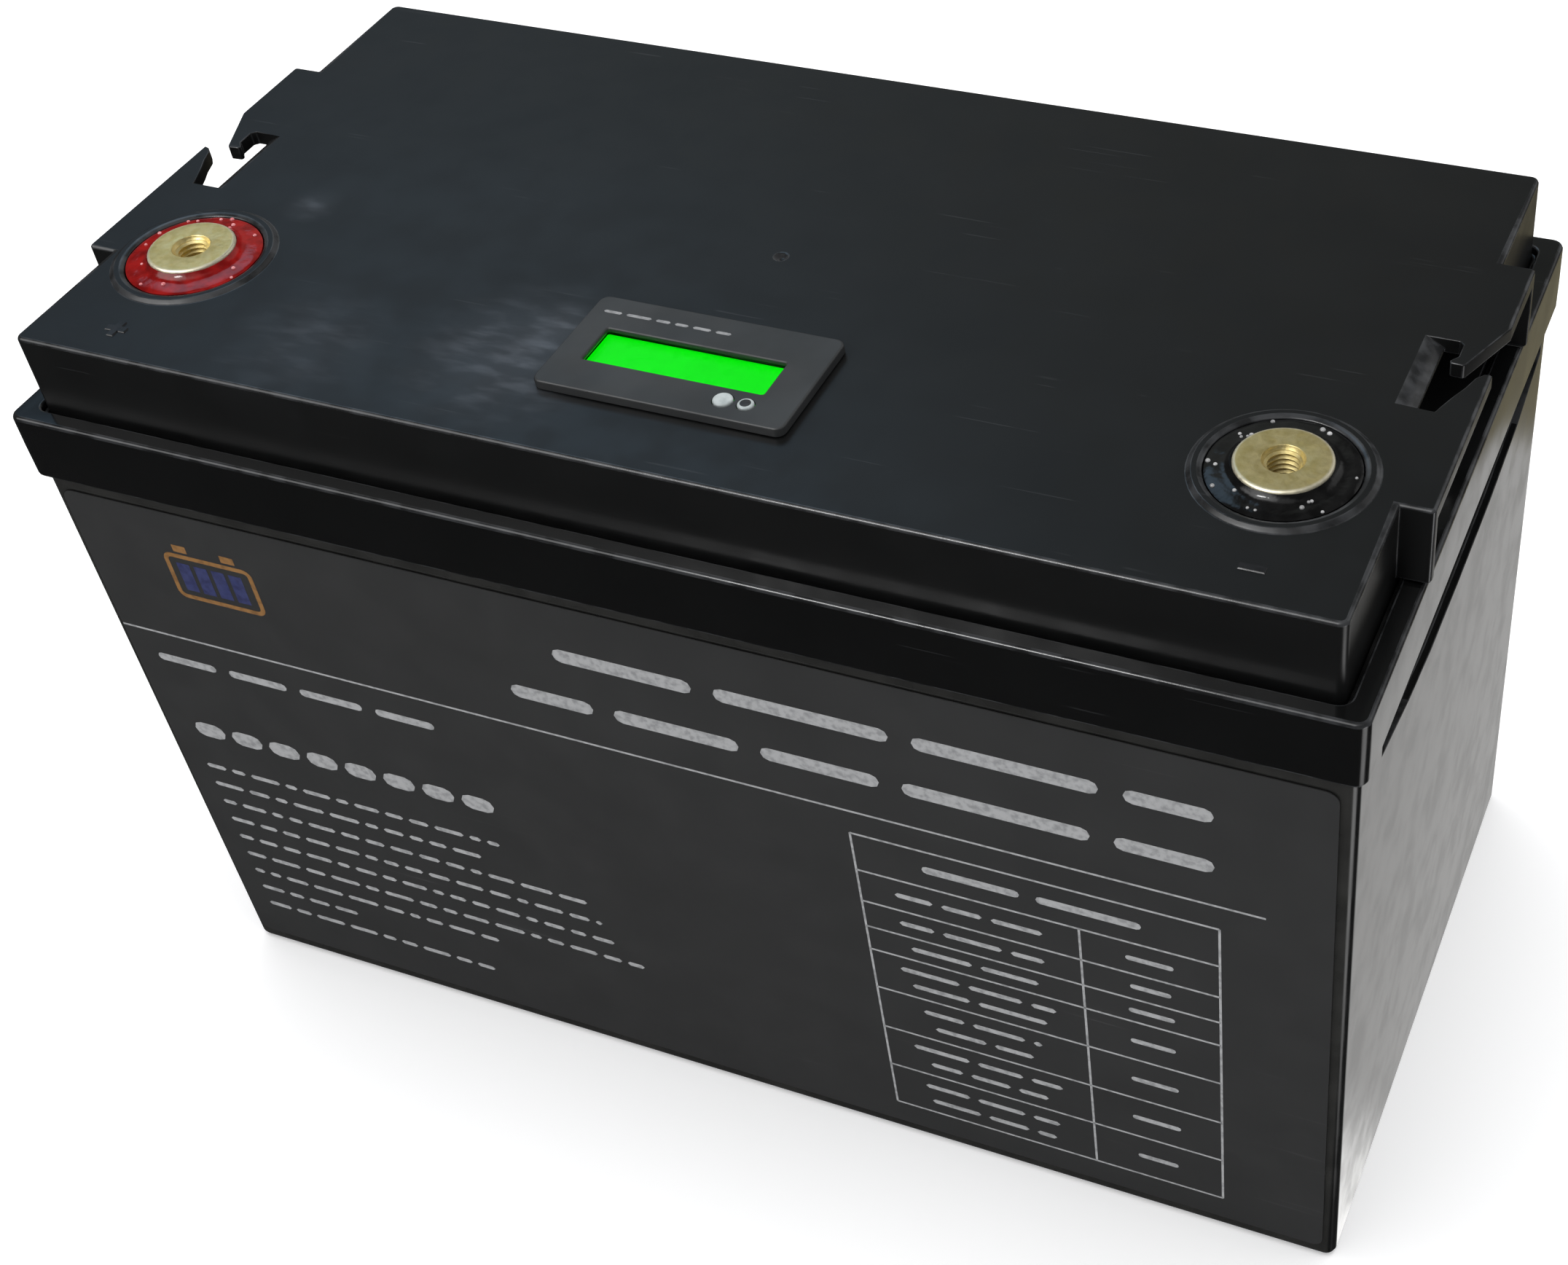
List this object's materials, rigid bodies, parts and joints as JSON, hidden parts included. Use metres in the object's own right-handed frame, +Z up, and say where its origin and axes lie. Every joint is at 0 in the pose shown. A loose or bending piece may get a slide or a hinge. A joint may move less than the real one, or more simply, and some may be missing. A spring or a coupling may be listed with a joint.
{
  "type": "deep cycle battery",
  "caption": "Sealed lithium iron phosphate battery in a moulded black case with threaded brass terminals, a lid display with push keys and hooked rope slots in its end tabs.",
  "frame": {"origin": "middle of the base's underside", "axes": "+X towards the negative terminal's end, -Y the labelled front, +Z up"},
  "size_m": [0.3316, 0.172, 0.2163],
  "materials": {
    "case_abs": "satin moulded ABS",
    "label_film": "satin printed film",
    "seal_resin": "gloss",
    "brass": "machined",
    "red_resin": "glossy epoxy",
    "black_resin": "glossy epoxy",
    "rubber": "matte",
    "steel": "zinc plated",
    "tinned_copper": "tinned",
    "bezel_plastic": "satin",
    "clear_plastic": "clear",
    "lcd_green": "backlit",
    "light_guide": "frosted",
    "key_plastic": "satin",
    "circuit_board": "solder mask",
    "white_plastic": "satin",
    "cell_film": "blue film over an aluminium can",
    "epoxy_sheet": "satin",
    "aluminium": "milled",
    "foam": "closed-cell foam",
    "cable_red": "silicone",
    "cable_black": "silicone",
    "cable_white": "silicone"
  },
  "bodies": {
    "battery": {"base_pad": "foam", "bms_board": "circuit_board", "bms_heat_sink": "aluminium", "busbar_1": "tinned_copper", "busbar_2": "tinned_copper", "busbar_3": "tinned_copper", "cell_1": "cell_film", "cell_2": "cell_film", "cell_3": "cell_film", "cell_4": "cell_film", "cell_spacer_1": "epoxy_sheet", "cell_spacer_2": "epoxy_sheet", "cell_spacer_3": "epoxy_sheet", "container": "case_abs", "display_backlight": "light_guide", "display_board": "circuit_board", "display_connector": "white_plastic", "display_housing": "bezel_plastic", "display_lead": "cable_white", "display_lens": "clear_plastic", "end_plate_left": "aluminium", "end_plate_right": "aluminium", "foam_block_left": "foam", "foam_block_right": "foam", "front_label": "label_film", "lcd_panel": "lcd_green", "lid": "case_abs", "lid_seal": "seal_resin", "mode_switch": "rubber", "output_negative_cable": "cable_black", "pack_cover_board": "epoxy_sheet", "pack_lug_negative": "tinned_copper", "pack_lug_positive": "tinned_copper", "pack_negative_cable": "cable_black", "pack_strap_lower": "steel", "pack_strap_upper": "steel", "positive_cable": "cable_red", "sense_harness": "cable_white", "set_switch": "rubber", "stud_nut_back_1": "steel", "stud_nut_back_2": "steel", "stud_nut_back_3": "steel", "stud_nut_back_4": "steel", "stud_nut_front_1": "steel", "stud_nut_front_2": "steel", "stud_nut_front_3": "steel", "stud_nut_front_4": "steel", "temperature_probe": "rubber", "terminal_lug_negative": "tinned_copper", "terminal_lug_positive": "tinned_copper", "terminal_nut_negative": "steel", "terminal_nut_positive": "steel", "terminal_o_ring_negative": "rubber", "terminal_o_ring_positive": "rubber", "terminal_post_negative": "brass", "terminal_post_positive": "brass", "terminal_resin_negative": "black_resin", "terminal_resin_positive": "red_resin"},
    "mode_key": {"mode_key": "key_plastic"},
    "set_key": {"set_key": "key_plastic"}
  },
  "joints": [
    {"name": "mode_key_press", "type": "slide", "parent": "battery", "child": "mode_key", "axis": [0, 0, -1], "range_m": [0, 0.0006], "stiffness_N_per_m": 800, "springref_m": -0.0004},
    {"name": "set_key_press", "type": "slide", "parent": "battery", "child": "set_key", "axis": [0, 0, -1], "range_m": [0, 0.0006], "stiffness_N_per_m": 800, "springref_m": -0.0004}
  ]
}
